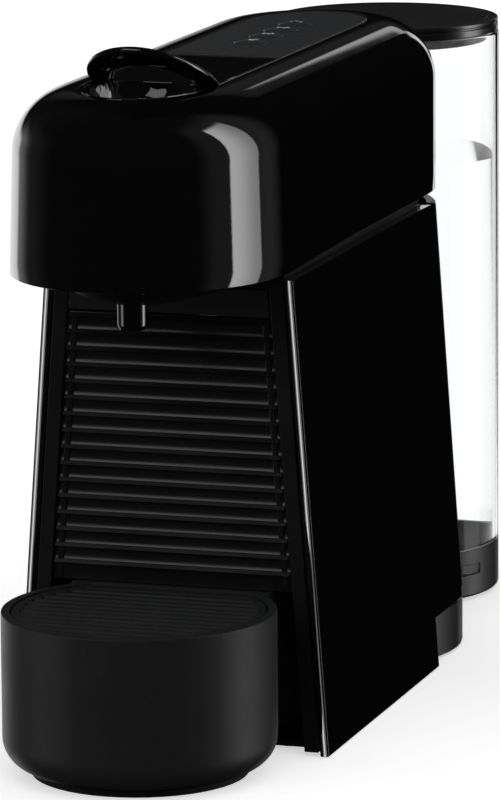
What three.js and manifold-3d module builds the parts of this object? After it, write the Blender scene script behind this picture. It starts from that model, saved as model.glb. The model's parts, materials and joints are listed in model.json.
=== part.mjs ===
// A pod coffee machine: a narrow body between two splayed side panels with a rounded back, a long oval head
// with a lever handle and four push buttons on top, a pull-out drip unit with a round tray, and a round
// water tank that stands on a swivelling foot behind the body. Millimetres, +Z up, the front faces -Y,
// origin at the centre of the footprint. Every piece is one closed solid.
import * as THREE from "three";
import { mergeVertices } from "three/addons/utils/BufferGeometryUtils.js";
import Module from "manifold-3d";

const wasm = await Module();
wasm.setup();

// ---- Driving dimensions ----
const GAP = 0.3; // between pieces that touch

const BODY = { front: -131, rear: 70, top: 191, baseHalf: 65.3, topHalf: 51.3, foot: 0.3 };
const HEAD = { half: 52, bottom: 196.8, top: 268.2, fillet: 25, lift: 1 };
const FLARE = { from: -54, to: -145, out: 1.5, drop: 0.6 }; // the head's lower edge towards its nose
const NOSE = { start: -145, depth: 69, steps: 10 }; // half an ellipse at the front of the head
const TAIL = { start: 56, depth: 60, steps: 8 }; // half an ellipse at its rear
const SHELL = 2.5; // wall of the moulded covers
const PANEL = 4; // thickness of a side panel
// The oval inlay along the top of the head.
const STRIP = { half: 25, noseStart: -150, noseDepth: 42, tailStart: 52, tailDepth: 34.7 };
const CONTROL = { front: -57.3, board: 72 };
const LEVER = { pivotY: -64, pivotZ: 262.5, barrel: 6, front: -140, plate: 3.2 };
const TRAY = { y: -170, radius: 54, top: 65, foot: 42.8, edge: 12 };
const HUB = { y: 60.7, radius: 64, top: 20.5, pin: 12 };
const TANK = { y: 174.7, radius: 49.3, cradleTop: 22.8, top: 249.5, wall: 2 };
const LID_TOP = 255.9;
const DECK = HEAD.bottom + HEAD.lift + 2.9; // on top of the underside, inside the head
const SPOUT = { y: -174, radius: 5.9, bottom: 176.3 };
const BREW = { z: 228, cage: 19, mouth: -128, back: -94, jaw: -136.5, rail: [21.7, 24] };
// The arm below the lever's pivot, and how far behind straight down it points at rest.
const CRANK = { length: 21, lag: 0.63 };
const PIN = {
  y: LEVER.pivotY + CRANK.length * Math.sin(CRANK.lag),
  z: LEVER.pivotZ - CRANK.length * Math.cos(CRANK.lag),
};
const FRONT = { ribs: -130.4, face: -128.6, top: 174.2 }; // the ribbed front of the drip unit
const RIB = { pitch: 6.66, count: 16, highest: 173.4, height: 1.4 };
const BIN = { half: 36, back: -14, floor: 7.8, top: 120, wall: 2 };
const GRILLE = { pitch: 6.55, slot: 3.3, first: -209.9, slots: 12 };
const GLAND = { x: -34, level: 40, floor: 97 }; // where the mains cord leaves, in a pocket of the back cover
const BUTTON = { radius: 7, pitch: 20.1, first: -19, count: 4 };

const SPLAY = Math.atan((BODY.baseHalf - BODY.topHalf) / BODY.top);
const bodyHalf = (z) => BODY.baseHalf - z * Math.tan(SPLAY);

// ---- Materials ----
const plastic = (color, roughness) => new THREE.MeshStandardMaterial({ color, roughness, metalness: 0 });
const metal = (color, roughness) => new THREE.MeshStandardMaterial({ color, roughness, metalness: 1 });
const GLOSS_BLACK = plastic(0x050506, 0.08);
const MATTE_BLACK = plastic(0x17181a, 0.55);
const SATIN_BLACK = plastic(0x0c0d0e, 0.35);
const PANEL_GREY = plastic(0x1d1f21, 0.25);
const BUTTON_BLACK = plastic(0x26282b, 0.2);
const CLEAR = plastic(0xf4f8fa, 0.05);
CLEAR.transparent = true;
CLEAR.opacity = 0.3;
const RUBBER = plastic(0x1b1b1b, 0.85);
const WHITE_PLASTIC = plastic(0xd9dad6, 0.5);
const HOSE = plastic(0xcfd6d6, 0.4);
const BOARD = plastic(0x1e5a34, 0.6);
const STEEL = metal(0xb9bcc0, 0.3);
const ALUMINIUM = metal(0xa9acb0, 0.4);

// ---- Solids from three.js geometry ----
function solidOf(geometry) {
  const bare = geometry.index ? geometry.toNonIndexed() : geometry.clone();
  bare.deleteAttribute("normal");
  bare.deleteAttribute("uv");
  const merged = mergeVertices(bare, 1e-4);
  const vertProperties = merged.attributes.position.array;
  const triVerts = new Uint32Array(merged.index.array);
  const made = new wasm.Manifold(new wasm.Mesh({ numProp: 3, vertProperties, triVerts }));
  if (made.volume() > 0) return made;
  const flipped = triVerts.map((v, i) => triVerts[i % 3 === 1 ? i + 1 : i % 3 === 2 ? i - 1 : i]);
  return new wasm.Manifold(new wasm.Mesh({ numProp: 3, vertProperties, triVerts: flipped }));
}

function geometryOf(solid) {
  const { numProp, numVert, vertProperties, triVerts } = solid.getMesh();
  const points = new Float32Array(numVert * 3);
  for (let i = 0; i < numVert; i++) {
    points.set(vertProperties.subarray(i * numProp, i * numProp + 3), i * 3);
  }
  const geometry = new THREE.BufferGeometry();
  geometry.setAttribute("position", new THREE.BufferAttribute(points, 3));
  geometry.setIndex(new THREE.BufferAttribute(triVerts, 1));
  return geometry;
}

function named(name, solid, material, parent) {
  const mesh = new THREE.Mesh(geometryOf(solid), material);
  mesh.name = name;
  parent.add(mesh);
  return mesh;
}

const joined = (...solids) => solids.reduce((a, b) => a.add(b));
const cut = (solid, ...tools) => tools.reduce((a, b) => a.subtract(b), solid);

function box([x0, x1], [y0, y1], [z0, z1]) {
  const made = new THREE.BoxGeometry(x1 - x0, y1 - y0, z1 - z0);
  return solidOf(made.translate((x0 + x1) / 2, (y0 + y1) / 2, (z0 + z1) / 2));
}

// A cylinder along "x", "y" or "z", from one end to the other, at the two other coordinates in X, Y, Z
// order.
function cylinder(radius, axis, [from, to], [a, b], segments = 28) {
  const made = new THREE.CylinderGeometry(radius, radius, to - from, segments);
  const middle = (from + to) / 2;
  if (axis === "x") made.rotateZ(Math.PI / 2).translate(middle, a, b);
  if (axis === "y") made.translate(a, middle, b);
  if (axis === "z") made.rotateX(Math.PI / 2).translate(a, b, middle);
  return solidOf(made);
}

// A profile of [radius, height] points turned about the Z axis.
function turned(profile, segments = 48) {
  const points = profile.map(([r, z]) => new THREE.Vector2(r, z));
  points.push(points[0].clone());
  return solidOf(new THREE.LatheGeometry(points, segments).rotateX(Math.PI / 2));
}

const AXES = { x: [1, 0, 0], y: [0, 1, 0], z: [0, 0, 1], "-y": [0, -1, 0] };

// A shape drawn in two axes and pushed along the third.
function prism(shape, [across, up, along], start, depth, curveSegments = 12) {
  const made = new THREE.ExtrudeGeometry(shape, { depth, bevelEnabled: false, curveSegments });
  const basis = [across, up, along].map((axis) => new THREE.Vector3(...AXES[axis]));
  made.applyMatrix4(new THREE.Matrix4().makeBasis(...basis));
  return solidOf(made.translate(...AXES[along].map((part) => part * start)));
}

function outline(points) {
  return new THREE.Shape(points.map(([a, b]) => new THREE.Vector2(a, b)));
}

// In the X-Z plane, from the front plane y0 back to y1.
const prismY = (shape, [y0, y1]) => prism(shape, ["x", "z", "-y"], -y1, y1 - y0);
const prismX = (shape, [x0, x1]) => prism(shape, ["y", "z", "x"], x0, x1 - x0);
const prismZ = (shape, [z0, z1]) => prism(shape, ["x", "y", "z"], z0, z1 - z0, 16);

// A closed solid through rings of points that all have the same number of points. Each end is closed by
// rungs between the two halves of its ring.
function loft(rings) {
  const count = rings[0].length;
  const points = rings.flat().flatMap((p) => [p.x, p.y, p.z]);
  const faces = [];
  for (let k = 0; k + 1 < rings.length; k++) {
    for (let i = 0; i < count; i++) {
      const a = k * count + i;
      const b = k * count + ((i + 1) % count);
      faces.push(a, b, b + count, a, b + count, a + count);
    }
  }
  const last = (rings.length - 1) * count;
  for (let i = 0, j = count - 1; i + 1 < j; i++, j--) {
    faces.push(i, j, i + 1, last + i, last + i + 1, last + j);
    if (i + 1 < j - 1) faces.push(i + 1, j, j - 1, last + i + 1, last + j - 1, last + j);
  }
  const made = new THREE.BufferGeometry();
  made.setAttribute("position", new THREE.Float32BufferAttribute(points, 3));
  made.setIndex(faces);
  return solidOf(made);
}

function hose(radius, points, material, name, parent, steps = 20) {
  const path = new THREE.CatmullRomCurve3(points.map((p) => new THREE.Vector3(...p)));
  const section = new THREE.Shape().absarc(0, 0, radius, 0, 2 * Math.PI);
  const made = new THREE.ExtrudeGeometry(section, { steps, extrudePath: path, curveSegments: 4 });
  named(name, solidOf(made), material, parent);
}

// ---- Shared outlines ----
// The plan of the head: straight sides between half-elliptical ends, from the rear's left side round the
// nose. The ring can rise towards the nose.
function oval(half, noseDepth, tailDepth, z, lift = 0) {
  const quarter = Math.PI / 2;
  const left = [];
  for (let i = 0; i < TAIL.steps; i++) {
    const angle = (quarter * (i + 0.5)) / TAIL.steps;
    left.push([half * Math.sin(angle), TAIL.start + tailDepth * Math.cos(angle), z]);
  }
  left.push([half, TAIL.start, z]);
  for (let i = 0; i <= NOSE.steps; i++) {
    const angle = (quarter * i) / NOSE.steps;
    const forward = noseDepth * Math.sin(angle);
    left.push([half * Math.cos(angle), NOSE.start - forward, z + lift * (forward / NOSE.depth) ** 2]);
  }
  const right = left.slice(0, -1).reverse();
  const tip = left.length - 1;
  return [
    ...left.map(([x, y, level], i) => new THREE.Vector3(i === tip ? 0 : -x, y, level)),
    ...right.map((point) => new THREE.Vector3(...point)),
  ];
}

function headRing(inset, z, share = 0) {
  return oval(HEAD.half - inset, NOSE.depth - inset, TAIL.depth - inset, z, share * HEAD.lift);
}

// A ring of the head that widens and drops a little towards the nose.
function flared(ring) {
  return ring.map(({ x, y, z }) => {
    const share = THREE.MathUtils.clamp((FLARE.from - y) / (FLARE.from - FLARE.to), 0, 1);
    const forward = Math.max(0, NOSE.start - y) / NOSE.depth;
    const wide = x * (1 + (FLARE.out * share) / HEAD.half);
    return new THREE.Vector3(wide, y - FLARE.out * forward, z - FLARE.drop * share);
  });
}

// The head's outer form, or the same form drawn in by an inset, with its quarter-round top edge.
function headForm(inset, bottom) {
  const round = HEAD.fillet - inset;
  const centre = HEAD.top - HEAD.fillet;
  const rings = [flared(headRing(inset, bottom, 1))];
  const steps = 6;
  for (let i = 0; i <= steps; i++) {
    const angle = (Math.PI / 2) * (i / steps);
    rings.push(headRing(inset + round * (1 - Math.cos(angle)), centre + round * Math.sin(angle)));
  }
  return loft(rings);
}

// The inlay's plan: an oval strip, or its piece behind a front line or ahead of a rear line.
function stripShape(inset, { front = null, rear = null } = {}) {
  const half = STRIP.half - inset;
  const { noseStart, noseDepth, tailStart, tailDepth } = STRIP;
  const shape = new THREE.Shape();
  if (rear === null) shape.absellipse(0, tailStart, half, tailDepth - inset, 0, Math.PI);
  else shape.moveTo(half, rear).lineTo(-half, rear);
  if (front === null) shape.absellipse(0, noseStart, half, noseDepth - inset, Math.PI, 2 * Math.PI);
  else shape.lineTo(-half, front).lineTo(half, front);
  return shape;
}

// The body's cross-section, drawn in from the splayed faces, between two heights.
function bodySection(inset, z0, z1) {
  const corner = (side, z) => [side * (bodyHalf(z) - inset), z];
  return outline([corner(-1, z0), corner(1, z0), corner(1, z1), corner(-1, z1)]);
}

const machine = new THREE.Group();

// ---- Body ----
function sidePanel(name, side) {
  const notchY = 28.8;
  const notchZ = HUB.top + 0.5;
  const corner = 5;
  const shape = new THREE.Shape().moveTo(BODY.front, BODY.foot).lineTo(notchY, BODY.foot);
  shape.lineTo(notchY, notchZ).lineTo(BODY.rear, notchZ).lineTo(BODY.rear, BODY.top - corner);
  shape.quadraticCurveTo(BODY.rear, BODY.top, BODY.rear - corner, BODY.top).lineTo(BODY.front, BODY.top);
  const span = side > 0 ? [-PANEL, 0] : [0, PANEL];
  const mesh = named(name, prismX(shape, span), GLOSS_BLACK, machine);
  mesh.position.x = side * BODY.baseHalf;
  mesh.rotation.y = -side * SPLAY;
}

// Everything that the swivelling disc needs clear of the body.
const hubSpace = cylinder(HUB.radius + 0.9, "z", [-1, HUB.top + 0.9], [0, HUB.y], 48);
const chute = { x: [-21, 21], y: [-124, -92] };
const pipeWell = { x: [-16, 16], y: [20, 50] };
const WINDOW_INSET = 10.2; // from the splayed face to the drip unit's front

function chassis() {
  const wallInset = PANEL + 0.5;
  const top = BODY.top - 0.5;
  const outer = prismY(bodySection(wallInset, 1.5, top), [BODY.front + 0.5, BODY.rear - 4]);
  const inner = prismY(bodySection(wallInset + 3, -1, top - 4), [BODY.front + 7, BODY.rear]);
  const window = prismY(bodySection(WINDOW_INSET, -1, top - 4), [BODY.front - 1, BODY.front + 8]);
  const neckInset = 5.5;
  const collar = loft([top - 1, HEAD.bottom - GAP].map((z) => headRing(neckInset, z)));
  const ahead = box([-90, 90], [-300, BODY.front + 5], [0, 300]);
  const overBackCover = box([-90, 90], [BODY.rear - 4, 200], [0, top + GAP]);
  const neck = cut(collar, ahead, overBackCover);
  const openings = [chute, pipeWell].map((o) => box(o.x, o.y, [top - 10, HEAD.bottom + 5]));
  const solid = joined(cut(outer, inner, window), neck);
  named("chassis", cut(solid, hubSpace, ...openings), SATIN_BLACK, machine);
}

function basePlate() {
  const half = 53;
  const floor = 4;
  const block = box([-half, half], [BODY.front + 8, BODY.rear - 4.5], [1.5, HUB.top + 4]);
  const pocket = cut(
    box([-half - 1, half + 1], [BODY.front, BODY.rear], [floor, HUB.top + 10]),
    cylinder(HUB.radius + 4, "z", [0, HUB.top + 12], [0, HUB.y], 48),
  );
  const post = cylinder(HUB.pin, "z", [5, HUB.top + 3], [0, HUB.y]);
  const waterway = cylinder(3.4, "z", [0, HUB.top + 10], [0, HUB.y], 20);
  named("base_plate", cut(joined(cut(block, pocket, hubSpace), post), waterway), SATIN_BLACK, machine);
}

// The rounded back: a shell that carries the head's plan down to the swivel foot and splays with the panels.
function backCover() {
  const wall = 3;
  const z = [HUB.top + 5, BODY.top - 0.5];
  const flush = HEAD.half - bodyHalf(z[1]);
  const form = (inset, levels) =>
    loft(levels.map((level) => oval(bodyHalf(level) + flush - inset, 60, TAIL.depth - inset, level)));
  const ahead = box([-90, 90], [-300, BODY.rear + GAP], [0, 300]);
  const outer = cut(form(0, z), ahead);
  const shell = cut(outer, form(wall, [z[0] - 5, z[1] - wall]));
  const { x, level, floor } = GLAND;
  const backing = box([x - 13, x + 13], [floor - 4, 130], [level - 12, level + 12]).intersect(outer);
  const pocket = box([x - 10, x + 10], [floor, 130], [level - 9, level + 9]);
  const slots = Array.from({ length: 8 }, (_, i) => box([-25, 25], [80, 130], [120 + i * 7, 122.5 + i * 7]));
  const hole = cylinder(6.3, "y", [floor - 6, floor + 1], [x, level], 24);
  named("back_cover", cut(joined(shell, backing), pocket, hole, ...slots), SATIN_BLACK, machine);
  const collar = cylinder(8, "y", [floor + GAP, floor + 5], [x, level], 24);
  const sleeve = cylinder(5.9, "y", [floor - 7, floor + 1], [x, level], 24);
  const bore = cylinder(3.6, "y", [floor - 9, floor + 9], [x, level], 20);
  named("cord_gland", cut(joined(collar, sleeve), bore), RUBBER, machine);
}

function feet() {
  const places = [[-44, -112], [44, -112], [-44, -20], [44, -20]];
  places.forEach(([x, y], i) => {
    named(`rubber_foot_${i + 1}`, cylinder(6, "z", [0, 1.5 - 0.2], [x, y], 24), RUBBER, machine);
  });
}

// ---- Head ----
function headCover() {
  const shell = cut(headForm(0, HEAD.bottom), headForm(SHELL, HEAD.bottom - 5));
  const strip = prismZ(stripShape(0), [HEAD.top - 20, HEAD.top + 5]);
  named("head_cover", cut(shell, strip, ...loopSpace()), GLOSS_BLACK, machine);
}

function headUnderside() {
  const z = [HEAD.bottom, HEAD.bottom + 2.5];
  const plan = loft(z.map((level) => headRing(SHELL + GAP, level, 1)));
  const holes = [chute, pipeWell].map((o) => box(o.x, o.y, [z[0] - 1, z[1] + 1]));
  const spout = cylinder(9, "z", [z[0] - 1, z[1] + 5], [0, SPOUT.y], 28);
  named("head_underside", cut(plan, spout, ...holes), SATIN_BLACK, machine);
}

// The shallow belly under the head that carries the coffee outlet.
function outletCowl() {
  const levels = [[36, 186.5], [32, 187.2], [24, 189.5], [17, 193.5], [14, HEAD.bottom - GAP]];
  const ring = ([inset, z], i) => headRing(inset, z, i === levels.length - 1 ? 1 : 0);
  const belly = loft(levels.map(ring));
  const hollow = loft(levels.map(([inset, z], i) => ring([inset + 2, z + 2.2], i)));
  const spout = cylinder(SPOUT.radius + 0.7, "z", [170, 200], [0, SPOUT.y], 24);
  const behind = box([-90, 90], [BODY.front - 3.5, 200], [150, 250]);
  named("outlet_cowl", cut(belly, hollow, spout, behind), SATIN_BLACK, machine);
}

function coffeeOutlet() {
  const { y, radius, bottom } = SPOUT;
  const chamber = box([-13, 13], [y - 9, -137.5], [DECK, 207.6]);
  const hollow = box([-11, 11], [y - 7, -139.5], [DECK + 2, 210]);
  const nozzle = cylinder(radius, "z", [bottom, DECK + 1], [0, y], 28);
  const bore = cylinder(3.6, "z", [170, DECK + 10], [0, y], 20);
  named("coffee_outlet", cut(joined(chamber, nozzle), hollow, bore), MATTE_BLACK, machine);
}

// What the handle's loop needs clear as it lies down into the head.
const loopSpace = () => [0, 1.5, 3].map((z) => handleLoop(0.35).translate([0, 0, z]));

// The recess in front of the lever, under its loop.
function fingerRecess() {
  const plan = prismZ(stripShape(GAP, { rear: LEVER.front - 0.6 }), [HEAD.top - 16, HEAD.top + 5]);
  const scoop = new THREE.SphereGeometry(1, 24, 14).scale(21.5, 24, 16).translate(0, -164, HEAD.top + 1);
  const form = headForm(0, HEAD.bottom).intersect(plan);
  named("finger_recess", cut(form, solidOf(scoop), ...loopSpace()), GLOSS_BLACK, machine);
}

function controlPanel() {
  const z = [HEAD.top - 3, HEAD.top];
  const hole = (i) => cylinder(BUTTON.radius + GAP, "z", [z[0] - 1, z[1] + 1], [0, buttonY(i)], 32);
  const holes = Array.from({ length: BUTTON.count }, (_, i) => hole(i));
  const plate = prismZ(stripShape(GAP, { front: CONTROL.front }), z);
  named("control_panel", cut(plate, ...holes), PANEL_GREY, machine);
  const board = [[-19, 19], [CONTROL.front + 4, CONTROL.board], [HEAD.top - 9.6, HEAD.top - 8]];
  named("button_board", box(...board), BOARD, machine);
}

const buttonY = (i) => BUTTON.first + i * BUTTON.pitch;

function buttons() {
  const r = BUTTON.radius;
  const bottom = -4.5;
  const profile = [[0, bottom], [r, bottom], [r, 0], [r - 0.6, 0.6], [r * 0.55, 1.1], [0, 1.3]];
  for (let i = 0; i < BUTTON.count; i++) {
    const mesh = named(`button_${i + 1}`, turned(profile, 24), BUTTON_BLACK, machine);
    mesh.position.set(0, buttonY(i), HEAD.top);
  }
}

// ---- Lever and capsule mechanism ----
function lever() {
  const { pivotY, pivotZ, barrel, front, plate } = LEVER;
  const half = STRIP.half - GAP;
  const cover = box([-half, half], [front, pivotY], [HEAD.top - plate, HEAD.top]);
  const hinge = cylinder(barrel, "x", [-half, half], [pivotY, pivotZ], 24);
  const arms = bothSides(([x0, x1]) => {
    const arm = box([x0, x1], [-4, 4], [-CRANK.length - 4, 0]).rotate([(CRANK.lag * 180) / Math.PI, 0, 0]);
    return arm.translate([0, pivotY, pivotZ]);
  }, [18.6, 21]);
  const bore = cylinder(2.3, "x", [-40, 40], [pivotY, pivotZ], 16);
  const pinBore = cylinder(2.1, "x", [-40, 40], [PIN.y, PIN.z], 16);
  const solid = joined(cover, hinge, handleLoop(), ...arms);
  named("lever_handle", cut(solid, bore, pinBore), GLOSS_BLACK, machine);
  named("lever_pivot_pin", cylinder(2, "x", [-29, 29], [pivotY, pivotZ], 16), STEEL, machine);
  named("crank_pin", cylinder(1.8, "x", [-24.4, 24.4], [PIN.y, PIN.z], 16), STEEL, machine);
}

// The loop that fingers lift: a tapered band that leaves the strip's edges and slopes up to the front.
function handleLoop(grow = 0) {
  const reach = { x: 21.7, y: 27.5 };
  const start = { y: -139.5, z: HEAD.top - 1.9 };
  const rise = 15.2;
  const tilt = 0.5;
  const steps = 22;
  const sides = 12;
  const rings = [];
  for (let i = 0; i <= steps; i++) {
    const angle = Math.PI * (i / steps - 0.5);
    const full = Math.cos(angle);
    const side = Math.sin(angle);
    const centre = new THREE.Vector3(reach.x * side, start.y - reach.y * full, start.z + rise * full);
    const [flat, steep] = [Math.cos(tilt * full), Math.sin(tilt * full)];
    const outward = new THREE.Vector3(side * flat, -full * flat, steep);
    const upward = new THREE.Vector3(-side * steep, full * steep, flat);
    const width = 2.9 + 4.2 * Math.sqrt(full) + grow;
    const thick = 1.4 + 1.7 * full + grow;
    const ring = [];
    for (let k = 0; k < sides; k++) {
      const turn = (2 * Math.PI * k) / sides;
      const point = centre.clone().addScaledVector(outward, width * Math.cos(turn));
      ring.push(point.addScaledVector(upward, thick * Math.sin(turn)));
    }
    rings.push(ring);
  }
  return loft(rings);
}

// Two mirrored copies of a piece that spans from one X to another.
const bothSides = (make, [near, far]) => [make([-far, -near]), make([near, far])];

function brewGroup() {
  const wall = (span) => box(span, [-137, -30], [DECK, 257]);
  const ear = (span) => box(span, [LEVER.pivotY - 6, LEVER.pivotY + 6], [250, 264.5]);
  const sides = [wall, ear].flatMap((make) => bothSides(make, [25.3, 28]));
  const back = box([-28, 28], [-36, -30], [DECK, 250]);
  const rest = box([-28, 28], [BREW.back + 1, BREW.back + 6], [DECK, 234]);
  const pinBore = cylinder(2.3, "x", [-40, 40], [LEVER.pivotY, LEVER.pivotZ], 16);
  const stemBore = cylinder(5, "y", [-120, -25], [0, BREW.z], 20);
  named("brew_frame", cut(joined(...sides, back, rest), pinBore, stemBore), WHITE_PLASTIC, machine);
}

// The fixed cup that holds the capsule and lets the hot water in from behind.
function capsuleCage() {
  const { z, cage, mouth, back } = BREW;
  const body = cylinder(cage, "y", [mouth, back], [0, z], 32);
  const hollow = cylinder(16, "y", [mouth - 5, back - 5], [0, z], 32);
  const stem = cylinder(4.5, "y", [back - 1, -38], [0, z], 20);
  const waterway = cylinder(1.6, "y", [back - 10, -30], [0, z], 12);
  named("capsule_cage", cut(joined(body, stem), hollow, waterway), WHITE_PLASTIC, machine);
}

// The jaw with the pierced plate. Two rails tie it to the lever's crank pin, which pushes it forward.
function brewJaw() {
  const { z, jaw, rail } = BREW;
  const disc = box([-rail[1], rail[1]], [jaw, jaw + 4], [z - 18, z + 18]);
  const spout = cut(
    box([-9, 9], [jaw - 5, jaw + 1], [z - 19, z - 6]),
    box([-7, 7], [jaw - 3, jaw], [z - 30, z - 8]),
  );
  const rails = bothSides((span) => box(span, [jaw, PIN.y + 7], [PIN.z - 8, PIN.z + 5]), rail);
  const cheeks = bothSides((span) => box(span, [jaw, jaw + 9], [z - 18, PIN.z + 5]), rail);
  const slotHalf = { y: 2.5, z: 2.2 };
  const low = LEVER.pivotZ - CRANK.length;
  const slotZ = [low - slotHalf.z, PIN.z + slotHalf.z];
  const slot = box([-40, 40], [PIN.y - slotHalf.y, PIN.y + slotHalf.y], slotZ);
  const drain = box([-6, 6], [jaw - 2, jaw + 6], [z - 16, z - 9]);
  named("brew_jaw", cut(joined(disc, spout, ...rails, ...cheeks), slot, drain), WHITE_PLASTIC, machine);
  const plate = cylinder(17, "y", [jaw + 4.3, jaw + 6], [0, z], 32);
  const holes = [-8, 0, 8].map((x) => cylinder(1.6, "y", [jaw, jaw + 9], [x, z - 12], 10));
  named("pierce_plate", cut(plate, ...holes), STEEL, machine);
}

// ---- Drip unit ----
const seamHalf = (z) => bodyHalf(z) - WINDOW_INSET - 0.4;

function trayCup() {
  const { radius, top, edge } = TRAY;
  const bottom = 3;
  const profile = [[0, bottom], [radius - edge, bottom]];
  const steps = 4;
  for (let i = 1; i <= steps; i++) {
    const angle = (Math.PI / 2) * (i / steps);
    profile.push([radius - edge + edge * Math.sin(angle), bottom + edge - edge * Math.cos(angle)]);
  }
  profile.push([radius, top - 1], [radius - 1, top], [0, top]);
  return turned(profile);
}

function dripTray() {
  const back = BODY.front - 1.2;
  const behind = box([-90, 90], [back, 90], [-5, 90]);
  const cupOutside = cut(trayCup().translate([0, TRAY.y, 0]), behind);
  const well = cylinder(TRAY.radius - 3.6, "z", [7, 90], [0, TRAY.y], 48);
  const wellFront = cut(well, box([-90, 90], [back - 2.5, 90], [0, 95]));
  const ledgeRise = 4.5;
  const ledge = cut(
    cylinder(TRAY.radius - 3.4, "z", [7, TRAY.top - ledgeRise], [0, TRAY.y], 48),
    cylinder(TRAY.radius - 7, "z", [0, 90], [0, TRAY.y], 48),
  );
  const z1 = TRAY.top - 0.5;
  const section = [-1, 1].flatMap((side) => {
    const ends = [[side * seamHalf(3), 3], [side * seamHalf(z1), z1]];
    return side < 0 ? ends.reverse() : ends;
  });
  const backPlate = prismY(outline(section), [BODY.front - 1, BODY.front + 3]);
  const shelf = box([-38, 38], [BODY.front + 2, -12], [5, 7.5]);
  const neck = box([-30, 30], [back - 4, BODY.front + 3], [5, z1 - 8]);
  const innerLedge = cut(ledge, box([-90, 90], [back - 1, 90], [0, 95]));
  const tray = joined(cut(cupOutside, wellFront), innerLedge, backPlate, shelf, neck);
  named("drip_tray", tray, MATTE_BLACK, machine);
  const foot = cylinder(TRAY.foot, "z", [0, 2.7], [0, TRAY.y], 48);
  const open = cylinder(TRAY.foot - 8, "z", [-1, 5], [0, TRAY.y], 48);
  named("tray_foot", cut(foot, behind, open), RUBBER, machine);
}

// The slatted plate that cups stand on.
function dripGrille() {
  const { y, radius, top } = TRAY;
  const outer = radius - 4;
  const rear = BODY.front - 4.2;
  const z = [top - 4, top - 0.6];
  const disc = cylinder(outer, "z", z, [0, y], 48);
  const field = cylinder(outer - 3.4, "z", [0, 90], [0, y], 48);
  const slots = Array.from({ length: GRILLE.slots }, (_, i) => {
    const middle = GRILLE.first + i * GRILLE.pitch;
    return box([-60, 60], [middle - GRILLE.slot / 2, middle + GRILLE.slot / 2], [0, 90]);
  });
  const spines = joined(...[-15, 15].map((x) => box([x - 1.2, x + 1.2], [-300, 0], [0, top - 2])));
  const behind = box([-90, 90], [rear, 90], [-5, 90]);
  const rearBar = box([-90, 90], [rear - 3, 90], [-5, 90]);
  const holes = cut(joined(...slots).intersect(field), spines, rearBar);
  named("drip_grille", cut(disc, holes, behind), SATIN_BLACK, machine);
}

// A plate that fills the window between the pillars, between two heights.
const windowPlate = (inset, [z0, z1], y) => {
  const half = (z) => seamHalf(z) - inset;
  return prismY(outline([[-half(z0), z0], [half(z0), z0], [half(z1), z1], [-half(z1), z1]]), y);
};

// The ribbed front of the drip unit. A rail down each side ties its ribs together.
function ribbedFront() {
  const z = [TRAY.top + 0.5, FRONT.top];
  const plate = windowPlate(0, z, [FRONT.face, FRONT.face + 2.6]);
  const ribs = Array.from({ length: RIB.count }, (_, i) => {
    const top = RIB.highest - i * RIB.pitch;
    return windowPlate(0.3, [top - RIB.height, top], [FRONT.ribs, FRONT.face + 1]);
  });
  const railInset = [1.2, 3.6];
  const rails = cut(
    windowPlate(railInset[0], z, [FRONT.ribs + 0.8, FRONT.face + 1]),
    windowPlate(railInset[1], [z[0] - 1, z[1] + 1], [FRONT.ribs, FRONT.face + 1]),
  );
  named("ribbed_front", joined(plate, rails, ...ribs), SATIN_BLACK, machine);
}

// The fixed plate above the drip unit, behind the outlet.
function outletBackplate() {
  const plate = windowPlate(0, [FRONT.top + 0.9, BODY.top - 4.8], [FRONT.ribs, FRONT.face + 2.6]);
  named("outlet_backplate", plate, SATIN_BLACK, machine);
}

function capsuleBin() {
  const { half, back, floor, top, wall } = BIN;
  const front = BODY.front + 5.4;
  const outer = box([-half, half], [front, back], [floor, top]);
  const inner = box([wall - half, half - wall], [front + wall, back - wall], [floor + wall, top + 10]);
  named("capsule_bin", cut(outer, inner), SATIN_BLACK, machine);
}

// ---- Tank and its swivelling foot ----
function swivelFoot() {
  const { y, radius, top, pin } = HUB;
  const disc = cylinder(radius, "z", [1.2, top], [0, y], 48);
  const hollow = cylinder(radius - 2.6, "z", [-1, top - 3], [0, y], 48);
  const arm = box([-21, 21], [y + radius - 12, TANK.y - TANK.radius + 6], [1.2, top - 3.5]);
  const armHollow = box([-18.5, 18.5], [y + radius - 14, TANK.y - TANK.radius + 4], [-1, top - 6]);
  const boss = cylinder(pin + 3.6, "z", [6, top - 0.5], [0, y]);
  const bore = cylinder(pin + 0.4, "z", [-1, top + 5], [0, y]);
  const cradleSpace = cylinder(TANK.radius + 0.5, "z", [-1, 90], [0, TANK.y], 48);
  const hub = cut(joined(cut(disc, hollow), boss), bore);
  const bridge = cut(cut(arm, armHollow), cylinder(radius - 1, "z", [-1, 60], [0, y], 48), cradleSpace);
  named("swivel_foot", joined(hub, bridge), SATIN_BLACK, machine);
}

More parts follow.
